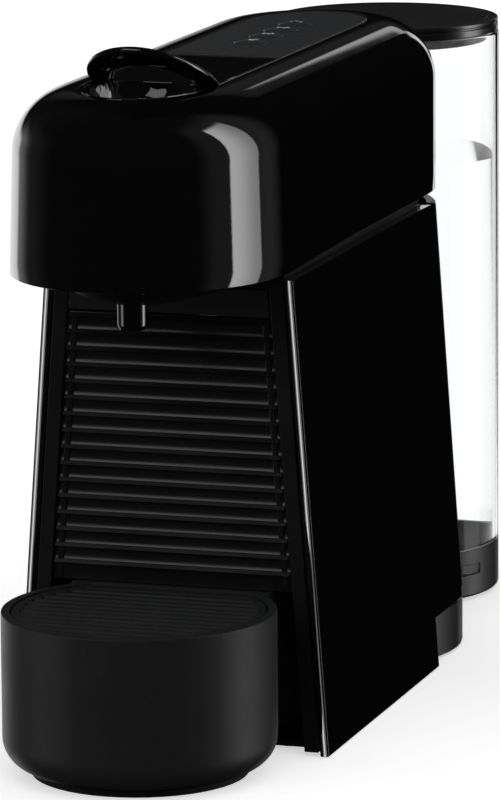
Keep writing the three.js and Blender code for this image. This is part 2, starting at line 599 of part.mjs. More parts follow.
function tankAssembly() {
  const group = new THREE.Group();
  group.position.y = TANK.y;
  machine.add(group);
  const { radius, cradleTop, wall, top } = TANK;
  const seat = radius - 2.6;
  const cradle = turned([
    [0, 1.5], [radius - 1, 1.5], [radius, 2.5], [radius, cradleTop], [seat, cradleTop],
    [seat, 6.5], [0, 6.5],
  ]);
  const spigot = cylinder(5, "z", [6, 14], [0, 0], 24);
  const drain = cylinder(2.4, "z", [-2, 30], [0, 0], 20);
  const grip = box([-7, 7], [-radius - 2, -radius + 2], [11.5, 16]).rotate([0, 0, 64]);
  named("tank_cradle", cut(joined(cradle, spigot), drain, grip), SATIN_BLACK, group);
  for (let i = 0; i < 2; i++) {
    const foot = cylinder(7, "z", [0, 1.2], [i ? 30 : -30, 12], 24);
    named(`cradle_foot_${i + 1}`, foot, RUBBER, group);
  }

  const step = cradleTop + 0.4;
  const low = seat - 0.4;
  const outer = radius - 0.2;
  const shell = turned([
    [7, 9], [low - 1.5, 9], [low, 10.5], [low, step], [outer, step], [outer, top],
    [outer - wall, top], [outer - wall, step + wall], [low - wall, step + wall - 2], [low - wall, 11.5],
    [7, 11.5],
  ]);
  named("water_tank", shell, CLEAR, group);

  const poppet = [[0, 14.8], [6.6, 14.8], [6.6, 11.9], [9, 11.9], [9, 13.2], [7.6, 16], [3, 18], [0, 18]];
  const valve = turned(poppet, 28);
  named("tank_valve", valve, WHITE_PLASTIC, group);

  const rim = radius - 0.4;
  const lid = turned([
    [0, top + 3.4], [41.6, top + 3.4], [41.6, top - 4], [44.6, top - 4], [44.6, top + GAP], [rim, top + GAP],
    [rim, top + 3.5], [rim - 1, top + 3.7], [rim, top + 4.1], [rim, LID_TOP - 0.5],
    [rim - 0.5, LID_TOP], [0, LID_TOP],
  ]);
  named("tank_lid", lid, MATTE_BLACK, group);
}

// ---- Water path and electrics inside the body ----
const PUMP = { x: 12, y: 28, coil: [40, 36], coilZ: [78, 118] };
const BARREL = { radius: 11, z: [56, 140], neckZ: [48, 146] };
const HEATER = { half: 30, y: [4, 54], z: [158, 184], fins: 6, finPitch: 8, finThickness: 3 };
const FLOW = { radius: 13, z: [30, 40], portZ: [26, 46] };

// A square block about the pump's axis, given its width and depth.
const aroundPump = ([wide, deep], z) =>
  box([PUMP.x - wide / 2, PUMP.x + wide / 2], [PUMP.y - deep / 2, PUMP.y + deep / 2], z);

function internals() {
  const { x: pumpX, y: pumpY } = PUMP;
  const coil = aroundPump(PUMP.coil, PUMP.coilZ);
  const barrel = cylinder(BARREL.radius, "z", BARREL.z, [pumpX, pumpY], 24);
  const neck = cylinder(4, "z", BARREL.neckZ, [pumpX, pumpY], 16);
  named("water_pump", joined(coil, barrel, neck), WHITE_PLASTIC, machine);
  const clearance = cylinder(BARREL.radius + 1, "z", [0, 300], [pumpX, pumpY], 32);
  named("pump_bracket", cut(aroundPump([48, 40], [66, 72]), clearance), RUBBER, machine);

  const { half, y: heaterY, z: heaterZ, fins, finPitch, finThickness } = HEATER;
  const heater = box([-half, half], heaterY, heaterZ);
  const fin = (i) => {
    const start = heaterY[0] + 2 + i * finPitch;
    return box([-half - 1, half + 1], [start, start + finThickness], [heaterZ[0] - 3, heaterZ[1] + 1.5]);
  };
  named("thermoblock", joined(heater, ...Array.from({ length: fins }, (_, i) => fin(i))), ALUMINIUM, machine);

  const flowY = HUB.y - 18;
  const wheelCase = cylinder(FLOW.radius, "z", FLOW.z, [0, flowY], 28);
  const ports = cylinder(4, "z", FLOW.portZ, [0, flowY], 16);
  named("flow_meter", joined(wheelCase, ports), WHITE_PLASTIC, machine);
  named("main_board", box([-40, -38.4], [0, 58], [60, 146]), BOARD, machine);
  named("mains_terminal", box([-44, -26], [40, 60], [30, 46]), WHITE_PLASTIC, machine);

  const pressure = [
    [pumpX, pumpY, 146.4],
    [pumpX, pumpY, 149],
    [26, 10, 149],
    [26, -6, 156],
    [20, -8, 168],
    [20, -3, 170],
    [20, 1, 170],
  ];
  hose(2.6, pressure, HOSE, "pressure_hose", machine, 16);
  const suction = [
    [0, flowY, 47.2],
    [0, flowY, 53],
    [20, 44, 56],
    [34, 30, 44],
    [18, pumpY, 34],
    [pumpX, pumpY, 40],
    [pumpX, pumpY, 47],
  ];
  hose(2.6, suction, HOSE, "suction_hose", machine, 18);
  const brew = [[0, 30, 186], [0, 32, 205], [0, 20, 222], [0, -10, BREW.z], [0, -30.5, BREW.z]];
  hose(2.4, brew, HOSE, "brew_hose", machine, 12);
}

chassis();
basePlate();
backCover();
sidePanel("side_panel_left", -1);
sidePanel("side_panel_right", 1);
feet();
headCover();
headUnderside();
outletCowl();
coffeeOutlet();
fingerRecess();
controlPanel();
buttons();
lever();
brewGroup();
capsuleCage();
brewJaw();
dripTray();
dripGrille();
ribbedFront();
outletBackplate();
capsuleBin();
swivelFoot();
tankAssembly();
internals();

export default machine;
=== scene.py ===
import json
import math

import bmesh
import bpy
from mathutils import Matrix, Vector


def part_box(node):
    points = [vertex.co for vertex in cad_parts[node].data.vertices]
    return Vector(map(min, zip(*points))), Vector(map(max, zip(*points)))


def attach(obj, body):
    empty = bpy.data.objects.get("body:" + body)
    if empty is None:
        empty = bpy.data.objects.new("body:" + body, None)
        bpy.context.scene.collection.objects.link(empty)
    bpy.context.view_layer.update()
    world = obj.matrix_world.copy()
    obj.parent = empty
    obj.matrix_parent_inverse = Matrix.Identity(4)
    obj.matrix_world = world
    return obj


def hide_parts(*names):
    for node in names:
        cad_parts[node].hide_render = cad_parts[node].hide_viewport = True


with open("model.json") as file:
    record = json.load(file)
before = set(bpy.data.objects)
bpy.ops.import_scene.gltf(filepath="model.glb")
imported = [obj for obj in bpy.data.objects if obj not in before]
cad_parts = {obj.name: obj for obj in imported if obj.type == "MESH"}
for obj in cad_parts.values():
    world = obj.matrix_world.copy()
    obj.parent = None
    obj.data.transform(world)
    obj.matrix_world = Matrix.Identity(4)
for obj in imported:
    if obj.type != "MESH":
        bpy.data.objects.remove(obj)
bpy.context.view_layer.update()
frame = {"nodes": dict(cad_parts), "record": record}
nodes = frame["nodes"]
MM = 0.001


def span(node):
    """The lowest and highest corner of a CAD node, in millimetres."""
    low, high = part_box(node)
    return low / MM, high / MM


# ---- Camera ----
def make_camera():
    """A long lens, a little to the machine's right and above it."""
    azimuth, elevation, roll = (math.radians(a) for a in (17.73, 10.90, -0.40))
    target = Vector((0.00137, -0.0295, 0.1218))
    distance = 2.4102
    back = Vector(
        (
            math.sin(azimuth) * math.cos(elevation),
            -math.cos(azimuth) * math.cos(elevation),
            math.sin(elevation),
        )
    )
    across = Vector((math.cos(azimuth), math.sin(azimuth), 0))
    up = back.cross(across)
    right = across * math.cos(roll) + up * math.sin(roll)
    top = up * math.cos(roll) - across * math.sin(roll)
    data = bpy.data.cameras.new("camera")
    data.lens = 264.23
    data.sensor_width = 36
    data.clip_start = 0.1
    data.clip_end = 30
    camera = bpy.data.objects.new("camera", data)
    bpy.context.scene.collection.objects.link(camera)
    rotation = Matrix((right, top, back)).transposed().to_4x4()
    camera.matrix_world = Matrix.Translation(target + back * distance) @ rotation
    bpy.context.scene.camera = camera


make_camera()


# ---- Node helpers ----
class Tree:
    """A small helper that adds shader nodes and links them in one call."""

    def __init__(self, owner):
        owner.use_nodes = True
        self.tree = owner.node_tree
        self.tree.nodes.clear()

    def add(self, kind, out=0, options=None, **inputs):
        node = self.tree.nodes.new("ShaderNode" + kind)
        for key, value in (options or {}).items():
            setattr(node, key, value)
        for key, value in inputs.items():
            socket = node.inputs[int(key[1:])] if key[0] == "i" and key[1:].isdigit() else node.inputs[
                key.replace("_", " ")
            ]
            if isinstance(value, bpy.types.NodeSocket):
                self.tree.links.new(value, socket)
            else:
                socket.default_value = value
        return node.outputs[out]

    def math(self, operation, a, b=0.0, c=0.0):
        return self.add("Math", options={"operation": operation}, i0=a, i1=b, i2=c)

    def ramp(self, value, low, high, to_low=0.0, to_high=1.0, smooth=True):
        kind = "SMOOTHSTEP" if smooth else "LINEAR"
        return self.add(
            "MapRange", options={"interpolation_type": kind}, i0=value, i1=low, i2=high, i3=to_low, i4=to_high
        )

    def noise(self, vector, scale, detail=3.0, roughness=0.55):
        return self.add("TexNoise", Vector=vector, Scale=scale, Detail=detail, Roughness=roughness)


def moulded(
    name, colour, roughness, swing=0.05, grain=0.0, grain_size=0.6, waves=0.0, tint=0.15, dust=0.0, **shader
):
    """A plastic or rubber: slow colour and gloss changes, a fine moulded grain, and specks of dust scattered
    at random.
    """
    material = bpy.data.materials.new(name)
    t = Tree(material)
    place = t.add("TexCoord", out=3)
    cloud = t.noise(place, 38.0)
    fine = t.noise(place, 1000 / grain_size, 2.0, 0.6)
    speck = t.noise(place, 650.0, 1.0, 0.5)
    darker = [c * (1 - tint) for c in colour[:3]] + [1.0]
    lighter = [min(1.0, c * (1 + tint)) for c in colour[:3]] + [1.0]
    base = t.add("Mix", out=2, options={"data_type": "RGBA"}, i0=cloud, i6=darker, i7=lighter)
    settled = t.ramp(speck, 0.66, 0.74, 0.0, dust)
    dusty = [min(1.0, c + 0.12) for c in colour[:3]] + [1.0]
    base = t.add("Mix", out=2, options={"data_type": "RGBA"}, i0=settled, i6=base, i7=dusty)
    gloss = t.ramp(cloud, 0.3, 0.7, max(0.02, roughness - swing), roughness + swing, smooth=False)
    height = t.math("MULTIPLY", fine, grain)
    slow = t.math("MULTIPLY", t.noise(place, 16.0, 1.0), waves)
    height = t.math("ADD", height, slow)
    bump = t.add("Bump", Strength=1.0, Distance=0.001, Height=height)
    surface = t.add("BsdfPrincipled", Base_Color=base, Roughness=gloss, Normal=bump, **shader)
    t.tree.links.new(surface, t.tree.nodes.new("ShaderNodeOutputMaterial").inputs[0])
    return material


MATERIALS = {
    "gloss_black_plastic": moulded(
        "gloss_black", (0.0014, 0.0014, 0.0016), 0.035, 0.012, 0.004, 0.9, 0.02, IOR=1.5
    ),
    "satin_black_plastic": moulded(
        "satin_black", (0.0045, 0.0047, 0.005), 0.42, 0.05, 0.03, 0.5, dust=0.04, IOR=1.3
    ),
    "matte_black_plastic": moulded(
        "matte_black", (0.016, 0.0165, 0.018), 0.42, 0.06, 0.05, 0.45, dust=0.08, IOR=1.46
    ),
    "dark_grey_panel": moulded("dark_grey_panel", (0.017, 0.018, 0.0195), 0.3, 0.04, 0.02, 0.4, IOR=1.46),
    "button_black": moulded("button_black", (0.02, 0.021, 0.023), 0.26, 0.04, 0.015, 0.4, IOR=1.46),
    "black_rubber": moulded(
        "black_rubber", (0.005, 0.005, 0.005), 0.75, 0.08, 0.12, 0.5, dust=0.06, IOR=1.25
    ),
    "white_plastic": moulded("white_plastic", (0.66, 0.66, 0.62), 0.45, 0.06, 0.05, 0.5, tint=0.04, IOR=1.46),
    "hose": moulded("hose", (0.55, 0.6, 0.6), 0.35, 0.06, 0.03, 0.7, tint=0.05, IOR=1.43),
    "circuit_board": moulded("circuit_board", (0.015, 0.09, 0.035), 0.35, 0.06, 0.08, 1.6, IOR=1.5),
    "steel": moulded("steel", (0.5, 0.5, 0.52), 0.28, 0.05, 0.05, 0.3, tint=0.05, Metallic=1.0),
    "aluminium": moulded("aluminium", (0.58, 0.58, 0.6), 0.42, 0.08, 0.15, 0.8, tint=0.06, Metallic=1.0),
    "clear_plastic": moulded(
        "clear_plastic", (0.985, 0.99, 0.992), 0.02, 0.008, 0.002, 0.9, 0.02,
        tint=0.004, IOR=1.14, Transmission_Weight=1.0,
    ),
}
MATERIALS["icon_grey"] = moulded("icon_grey", (0.6, 0.61, 0.62), 0.45, 0.05, 0.01, 0.5, IOR=1.45)
MATERIALS["tray_black"] = moulded(
    "tray_black", (0.0135, 0.014, 0.0145), 0.47, 0.04, 0.05, 0.4, dust=0.04, IOR=1.24
)
MATERIALS["rib_black"] = moulded(
    "rib_black", (0.004, 0.004, 0.0045), 0.24, 0.04, 0.02, 0.5, dust=0.03, IOR=1.46
)
MATERIALS["lid_black"] = moulded(
    "lid_black", (0.006, 0.0062, 0.0068), 0.22, 0.04, 0.02, 0.5, dust=0.03, IOR=1.46
)
MATERIALS["wall_black"] = moulded(
    "wall_black", (0.009, 0.0093, 0.01), 0.45, 0.05, 0.03, 0.5, dust=0.04, IOR=1.36
)
MATERIALS["water"] = moulded(
    "water", (0.99, 0.994, 0.997), 0.01, 0.003, 0.0, 1.0, 0.05, tint=0.002, IOR=1.12, Transmission_Weight=1.0
)
SLOT_OF = {part["node"]: part["material_slot"] for part in frame["record"]["subparts"]}


def dress(node, round_over=0.35):
    """A CAD node that stays: its edges rounded and its material set."""
    piece = nodes[node]
    mesh = piece.data
    if "custom_normal" in mesh.attributes:
        mesh.attributes.remove(mesh.attributes["custom_normal"])
    mesh.polygons.foreach_set("use_smooth", [True] * len(mesh.polygons))
    weld = piece.modifiers.new("weld", "WELD")
    weld.merge_threshold = 0.00002
    bevel = piece.modifiers.new("round_over", "BEVEL")
    bevel.width = round_over * MM
    bevel.segments = 2
    bevel.limit_method = "ANGLE"
    bevel.angle_limit = math.radians(32)
    bevel.harden_normals = True
    mesh.materials.clear()
    mesh.materials.append(MATERIALS[SLOT_OF[node]])


for node in nodes:
    dress(node)


# ---- Mesh helpers ----
def add_piece(name, verts, faces, body, slot, stands_for=(), sharp=34, weighted=True):
    """A new piece from points in millimetres, shaded smooth up to an angle, riding on a body."""
    mesh = bpy.data.meshes.new(name)
    mesh.from_pydata([(x * MM, y * MM, z * MM) for x, y, z in verts], [], faces)
    made = bmesh.new()
    made.from_mesh(mesh)
    bmesh.ops.recalc_face_normals(made, faces=made.faces)
    made.to_mesh(mesh)
    made.free()
    mesh.shade_smooth()
    mesh.set_sharp_from_angle(angle=math.radians(sharp))
    mesh.materials.append(MATERIALS[slot])
    piece = bpy.data.objects.new(name, mesh)
    bpy.context.scene.collection.objects.link(piece)
    if weighted:
        flat = piece.modifiers.new("flat_faces", "WEIGHTED_NORMAL")
        flat.keep_sharp = True
    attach(piece, body)
    if stands_for:
        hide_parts(*stands_for)
    return piece


def skin(rings, loop=False):
    """Faces over rings of equal length; the rings themselves may close on each other."""
    count = len(rings[0])
    verts = [point for ring in rings for point in ring]
    faces = []
    for k in range(len(rings) if loop else len(rings) - 1):
        a, b = k * count, ((k + 1) % len(rings)) * count
        faces += [(a + i, a + (i + 1) % count, b + (i + 1) % count, b + i) for i in range(count)]
    if not loop:
        faces.append(tuple(reversed(range(count))))
        faces.append(tuple(range(len(verts) - count, len(verts))))
    return verts, faces


def several(parts):
    """Several (verts, faces) lists as one."""
    verts, faces = [], []
    for more_verts, more_faces in parts:
        start = len(verts)
        verts += more_verts
        faces += [tuple(start + i for i in face) for face in more_faces]
    return verts, faces


def arc(centre, radius, start, end, steps):
    """Points of an arc, angles in degrees."""
    angles = [math.radians(start + (end - start) * i / steps) for i in range(steps + 1)]
    return [(centre[0] + radius * math.cos(a), centre[1] + radius * math.sin(a)) for a in angles]


def softened(profile, radius, steps=4):
    """A closed profile of (x, y) points with each corner rounded."""
    out = []
    count = len(profile)
    for i, here in enumerate(profile):
        here = Vector(here[:2])
        before = Vector(profile[i - 1][:2]) - here
        after = Vector(profile[(i + 1) % count][:2]) - here
        own = profile[i][2] if len(profile[i]) > 2 else radius
        reach = min(own, before.length * 0.45, after.length * 0.45)
        if reach < 0.02:
            out.append(tuple(here))
            continue
        a, b = here + before.normalized() * reach, here + after.normalized() * reach
        for k in range(steps + 1):
            t = k / steps
            out.append(tuple(a * (1 - t) ** 2 + here * 2 * t * (1 - t) + b * t**2))
    return out


AXIS = 0.02  # the radius at which a turned profile ends on its axis


def lathe(profile, centre, segments, radius):
    """A closed (radius, height) profile turned about a vertical axis, with its corners rounded."""
    section = softened(profile, radius)
    rings = []
    for i in range(segments):
        a = math.radians(360.0 * i / segments)
        rings.append([(centre[0] + r * math.cos(a), centre[1] + r * math.sin(a), z) for r, z in section])
    return skin(rings, loop=True)


def inset_outline(points, amount):
    """A closed 2-D outline drawn in along its mitred corners (anticlockwise is inwards)."""
    out = []
    count = len(points)
    for i in range(count):
        here = Vector(points[i])
        before = (here - Vector(points[i - 1])).normalized()
        after = (Vector(points[(i + 1) % count]) - here).normalized()
        n0, n1 = Vector((-before.y, before.x)), Vector((-after.y, after.x))
        scale = max(0.25, 1 + n0.dot(n1))
        out.append(tuple(here + (n0 + n1) * amount / scale))
    return out


def slab(outline, low, high, place, edge=0.5, crown=0.0, steps=4):
    """A plate between two levels with rounded edges. A crown adds rows across its rim and bows it.

    place turns (u, v, t) into x, y, z.
    """
    area = sum(a[0] * b[1] - b[0] * a[1] for a, b in zip(outline, outline[1:] + outline[:1]))
    if area < 0:
        outline = outline[::-1]
    middle, half = (low + high) / 2, (high - low) / 2
    rim = []
    for k in range(steps + 1):
        a = math.pi / 2 * k / steps
        rim.append((edge * (1 - math.sin(a)), half - edge + edge * math.cos(a)))
    profile = [(inset, -t) for inset, t in rim]
    if crown:
        inner = half - edge
        for k in range(1, 8):
            profile.append((0.0, -inner + 2 * inner * k / 8))
    profile += [(inset, t) for inset, t in reversed(rim)]
    rings = []
    for inset, t in profile:
        bow = crown * (t / half) ** 2
        rings.append([place(u, v, middle + t) for u, v in inset_outline(outline, inset + bow)])
    return skin(rings)


def flat_xy(u, v, t):
    """A slab that lies flat."""
    return (u, v, t)


def upright_xz(u, v, t):
    """A slab that stands up and faces the front."""
    return (u, t, v)


def carve(piece, cutters):
    """Cuts closed (verts, faces) solids out of a piece, once, before it is shaded."""
    verts, faces = several(cutters)
    mesh = bpy.data.meshes.new("cutter")
    mesh.from_pydata([(x * MM, y * MM, z * MM) for x, y, z in verts], [], faces)
    made = bmesh.new()
    made.from_mesh(mesh)
    bmesh.ops.recalc_face_normals(made, faces=made.faces)
    made.to_mesh(mesh)
    made.free()
    tool = bpy.data.objects.new("cutter", mesh)
    bpy.context.scene.collection.objects.link(tool)
    cut = piece.modifiers.new("cut", "BOOLEAN")
    cut.object = tool
    cut.solver = "EXACT"
    cut.use_self = True
    piece.modifiers.move(len(piece.modifiers) - 1, 0)
    kept = [m for m in piece.modifiers if m.name != "cut"]
    shown = [m.show_viewport for m in kept]
    for m in kept:
        m.show_viewport = False
    bpy.context.view_layer.update()
    result = bpy.data.meshes.new_from_object(piece.evaluated_get(bpy.context.evaluated_depsgraph_get()))
    for m, was in zip(kept, shown):
        m.show_viewport = was
    piece.modifiers.remove(cut)
    bpy.data.objects.remove(tool)
    old = piece.data
    result.name = old.name
    piece.data = result
    result.shade_smooth()
    result.set_sharp_from_angle(angle=math.radians(34))
    return piece


def block(x, y, z):
    """A plain box solid, used only to cut with."""
    ring = [(x[0], y[0]), (x[1], y[0]), (x[1], y[1]), (x[0], y[1])]
    return skin([[(u, v, level) for u, v in ring] for level in z])


def circle(radius, x, y, count):
    """Evenly spaced points of a circle."""
    angles = [math.tau * i / count for i in range(count)]
    return [(x + radius * math.cos(a), y + radius * math.sin(a)) for a in angles]


def rod(radius, x, y, z, segments=48):
    """A plain upright cylinder solid, used only to cut with."""
    ring = circle(radius, x, y, segments)
    return skin([[(u, v, level) for u, v in ring] for level in z])


# ---- The head ----
GAP = 0.3
HEAD_LOW, HEAD_HIGH = span("head_cover")
FILLET = 25.0
NOSE_START, NOSE_DEPTH = -145.0, 69.0
TAIL_START, TAIL_DEPTH = 56.0, 60.0
HEAD_HALF = HEAD_HIGH.x
HEAD_TOP = HEAD_HIGH.z
HEAD_BOTTOM = HEAD_LOW.z
HEAD_HEIGHT = 71.4
NOSE_LIFT = 1.0
FLARE_FROM, FLARE_TO, FLARE_OUT, FLARE_DROP = -54.0, -145.0, 1.5, 0.6
STRIP_HALF, STRIP_NOSE, STRIP_TAIL = 25.0, (-150.0, 42.0), (52.0, 34.7)


def oval(half, nose, tail, steps=(26, 24, 18)):
    """The closed plan: half an ellipse at the nose, straight sides, half an ellipse at the tail."""
    right = []
    for i in range(steps[0]):
        a = math.pi / 2 * i / steps[0]
        right.append((half * math.sin(a), nose[0] - nose[1] * math.cos(a)))
    for i in range(steps[1]):
        right.append((half, nose[0] + (tail[0] - nose[0]) * i / steps[1]))
    for i in range(steps[2] + 1):
        a = math.pi / 2 * i / steps[2]
        right.append((half * math.cos(a), tail[0] + tail[1] * math.sin(a)))
    right[-1] = (0.0, right[-1][1])
    return right + [(-x, y) for x, y in reversed(right[1:-1])]


def head_plan(inset):
    """The head's plan, drawn in by an inset."""
    return oval(HEAD_HALF - inset, (NOSE_START, NOSE_DEPTH - inset), (TAIL_START, TAIL_DEPTH - inset))


def strip_plan(inset):
    """The plan of the inlay along the head's top."""
    half = STRIP_HALF - inset
    return oval(half, (STRIP_NOSE[0], STRIP_NOSE[1] - inset), (STRIP_TAIL[0], STRIP_TAIL[1] - inset))


def lifted(z, y, share):
    """A height that rises towards the tip of the nose."""
    return z + share * NOSE_LIFT * (max(0.0, NOSE_START - y) / NOSE_DEPTH) ** 2


def top_height(x, y):
    """The height of the head's top face over a point of its plan."""
    low, high = 0.0, HEAD_HALF
    along, depth = (NOSE_START - y, NOSE_DEPTH) if y < NOSE_START else (max(0.0, y - TAIL_START), TAIL_DEPTH)
    for _ in range(26):
        s = (low + high) / 2
        if (x / (HEAD_HALF - s)) ** 2 + (along / (depth - s)) ** 2 < 1:
            low = s
        else:
            high = s
    inset = (low + high) / 2
    if inset >= FILLET:
        return HEAD_TOP
    return HEAD_TOP - FILLET + math.sqrt(max(0.0, FILLET**2 - (FILLET - inset) ** 2))


def flared(x, y, z, amount):
    """The head's lower edge is a little wider and lower towards its nose."""
    share = max(0.0, min(1.0, (FLARE_FROM - y) / (FLARE_FROM - FLARE_TO))) * amount
    forward = max(0.0, NOSE_START - y) / NOSE_DEPTH
    return (x * (1 + FLARE_OUT * share / HEAD_HALF), y - FLARE_OUT * forward * amount, z - FLARE_DROP * share)


def head_shell():
    """The hollow cover: a flared lower lip, upright sides, a quarter-round edge and the inlay's groove."""
    wall, lip = 2.5, 0.35
    bottom = HEAD_TOP - HEAD_HEIGHT
    shoulder = HEAD_TOP - FILLET
    rings = []

    def level(inset, z, share=0.0):
        rings.append([flared(x, y, lifted(z, y, share), share) for x, y in head_plan(inset)])

    for inset, rise in ((wall, lip), (wall - 0.1, 0.1), (wall - lip, 0), (lip, 0), (0.1, 0.1), (0.0, lip)):
        level(inset, bottom + rise, 1.0)
    for k in range(1, 8):
        level(0.0, bottom + lip + (shoulder - bottom - lip) * k / 8, 1 - k / 8)
    meet = 64.0
    steps = 20
    for k in range(steps + 1):
        a = math.radians(meet * k / steps)
        level(FILLET - FILLET * math.cos(a), shoulder + FILLET * math.sin(a))
    outer = head_plan(FILLET - FILLET * math.cos(math.radians(meet)))
    edge = strip_plan(-0.5)
    for k in range(1, 9):
        t = k / 8
        plan = [(a[0] + (b[0] - a[0]) * t, a[1] + (b[1] - a[1]) * t) for a, b in zip(outer, edge)]
        rings.append([(x, y, top_height(x, y)) for x, y in plan])
    for inset, drop in ((-0.22, 0.09), (-0.05, 0.3), (0.0, 0.6), (0.0, 5.0)):
        rings.append([(x, y, top_height(x, y) - drop) for x, y in strip_plan(inset)])
    for a in (55, 40, 25, 10, 0):
        a = math.radians(a)
        level(FILLET - (FILLET - wall) * math.cos(a), shoulder + (FILLET - wall) * math.sin(a))
    verts, faces = skin(rings, loop=True)
    add_piece("head_shell", verts, faces, "machine", "gloss_black_plastic", ["head_cover"], weighted=False)


def finger_bowl():
    """The recess under the loop: a smooth bowl with a soft lip in the front of the inlay."""
    rear = span("finger_recess")[1].y
    half = STRIP_HALF - GAP
    outline = []
    for i in range(65):
        a = math.pi * (i / 64) - math.pi / 2
        outline.append((half * math.sin(a), STRIP_NOSE[0] - (STRIP_NOSE[1] - GAP) * math.cos(a)))
    outline += [(half, STRIP_NOSE[0] + (rear - STRIP_NOSE[0]) * k / 4) for k in (1, 2, 3, 4)]
    outline += [(half - 2 * half * k / 24, rear) for k in range(1, 25)]
    outline += [(-half, rear + (STRIP_NOSE[0] - rear) * k / 4) for k in (1, 2, 3)]
    centre, reach, depth = Vector((0, -164)), (21.5, 24.0), 16.0

    def height(x, y):
        top = top_height(x, y)
        q = math.hypot((x - centre.x) / reach[0], (y - centre.y) / reach[1])
        bowl = HEAD_TOP + 1 - depth * math.sqrt(1 - q * q) if q < 1 else HEAD_TOP + 1 + (q - 1) * 30
        blend = 1.3
        h = max(0.0, min(1.0, 0.5 + 0.5 * (bowl - top) / blend))
        return bowl + (top - bowl) * h - blend * h * (1 - h)

    rings = [[(x, y, HEAD_TOP - 17) for x, y in inset_outline(outline, 0.5)]]
    rings.append([(x, y, min(height(x, y), top_height(x, y)) - 0.4) for x, y in outline])
    for share in (0.992, 0.97, 0.94, 0.9, 0.86, 0.8, 0.74, 0.66, 0.58, 0.5, 0.4, 0.3, 0.2, 0.1, 0.03):
        ring = []
        for x, y in outline:
            p = centre + (Vector((x, y)) - centre) * share
            ring.append((p.x, p.y, height(p.x, p.y)))
        rings.append(ring)
    verts, faces = skin(rings)
    add_piece(
        "finger_bowl", verts, faces, "machine", "gloss_black_plastic", ["finger_recess"], weighted=False
    )


def lever_piece():
    """The handle: its cover plate, hinge barrel, two crank arms and loop."""
    half = STRIP_HALF - GAP
    pivot_y, pivot_z, front = -64.0, 262.5, -140.0
    barrel, plate = 6.0, 3.2
    parts = []
    cover = [(-half, front), (half, front), (half, pivot_y), (-half, pivot_y)]
    steps = [cover[0]] + [(-half + 2 * half * k / 12, front) for k in range(1, 12)] + cover[1:]
    parts.append(slab(steps, HEAD_TOP - plate, HEAD_TOP, flat_xy, edge=0.7))
    radius = barrel - GAP
    ring = arc((pivot_y, pivot_z), radius, 0, 345, 46)
    rim = [
        (0.8, -half), (0.25, -half + 0.2), (0, -half + 0.7), (0, half - 0.7), (0.25, half - 0.2), (0.8, half)
    ]
    rings = []
    for inset, x in rim:
        share = (radius - inset) / radius
        rings.append([(x, pivot_y + (y - pivot_y) * share, pivot_z + (z - pivot_z) * share) for y, z in ring])
    parts.append(skin(rings))
    lag, arm, tip_radius = 0.63, 21.0, 4.0
    arm_sides = (18.6, 21.0)
    for side in (-1, 1):
        x0, x1 = sorted(side * x for x in arm_sides)
        down = Vector((math.sin(lag), -math.cos(lag)))
        wide = Vector((math.cos(lag), math.sin(lag))) * tip_radius
        root, tip = Vector((pivot_y, pivot_z)), Vector((pivot_y, pivot_z)) + down * arm
        shape = [tuple(root + wide), tuple(root - wide)]
        turn = math.degrees(math.atan2(-wide.y, -wide.x))
        shape += arc(tuple(tip), tip_radius, turn, turn + 180, 12)
        parts.append(slab(shape, x0, x1, lambda u, v, t: (t, u, v), edge=0.4))
    parts.append(loop_band())
    verts, faces = several(parts)
    add_piece("lever_loop", verts, faces, "lever", "gloss_black_plastic", ["lever_handle"])


def loop_band():
    """The tapered band that fingers lift."""
    reach_x, reach_y, rise, tilt = 21.7, 27.5, 15.2, 0.5
    start_y, start_z = -139.5, HEAD_TOP - 1.9
    steps, sides = 60, 24
    rings = []
    for i in range(steps + 1):
        a = math.pi * (i / steps - 0.5)
        full, across = max(0.0, math.cos(a)), math.sin(a)
        centre = Vector((reach_x * across, start_y - reach_y * full, start_z + rise * full))
        flat, steep = math.cos(tilt * full), math.sin(tilt * full)
        outward = Vector((across * flat, -full * flat, steep))
        upward = Vector((-across * steep, full * steep, flat))
        width, thick = 2.9 + 4.2 * math.sqrt(full), 1.4 + 1.2 * full
        ring = []
        for k in range(sides):
            turn = math.tau * k / sides
            c, s = math.cos(turn), math.sin(turn)
            lobe = Vector((math.copysign(abs(c) ** 0.9, c), math.copysign(abs(s) ** 0.8, s)))
            ring.append(tuple(centre + outward * width * lobe.x + upward * thick * lobe.y))
        rings.append(ring)
    return skin(rings)


def control_panel():
    """The plate with a countersunk well for each button."""
    low, high = span("control_panel")
    well_rims = ((7.29, high.z - 0.45), (7.9, high.z + 0.16))
    outline = [p for p in strip_plan(GAP) if p[1] > low.y]
    right = [p for p in outline if p[0] > 0]
    left = [p for p in outline if p[0] <= 0]
    half = STRIP_HALF - GAP
    outline = [(half, low.y)] + right + left + [(-half, low.y)]
    verts, faces = slab(outline, low.z, high.z, flat_xy, edge=0.45)
    panel = add_piece("control_plate", verts, faces, "machine", "dark_grey_panel", ["control_panel"])
    wells = []
    for i in range(4):
        a, b = span(f"button_{i + 1}")
        y = (a.y + b.y) / 2
        wells.append(rod((b.x - a.x) / 2 + GAP, 0, y, (low.z - 1, high.z + 1), 64))
        wells.append(skin([[(u, v, z) for u, v in circle(r, 0, y, 64)] for r, z in well_rims]))
    carve(panel, wells)


def ribbon(points, width, height):
    """A thin closed strip along a path over a button's dome."""
    rings = []
    for i, here in enumerate(points):
        ahead = Vector(points[min(i + 1, len(points) - 1)]) - Vector(points[max(i - 1, 0)])
        side = Vector((-ahead.y, ahead.x)).normalized() * width / 2
        here = Vector(here)
        ring = []
        for sign, up in ((1, -0.2), (1, 0.07), (-1, 0.07), (-1, -0.2)):
            p = here + side * sign
            ring.append((p.x, p.y, height(p) + up))
        rings.append(ring)
    return skin(rings)


CUP_SIZES = (1.5, 1.85, 2.2)


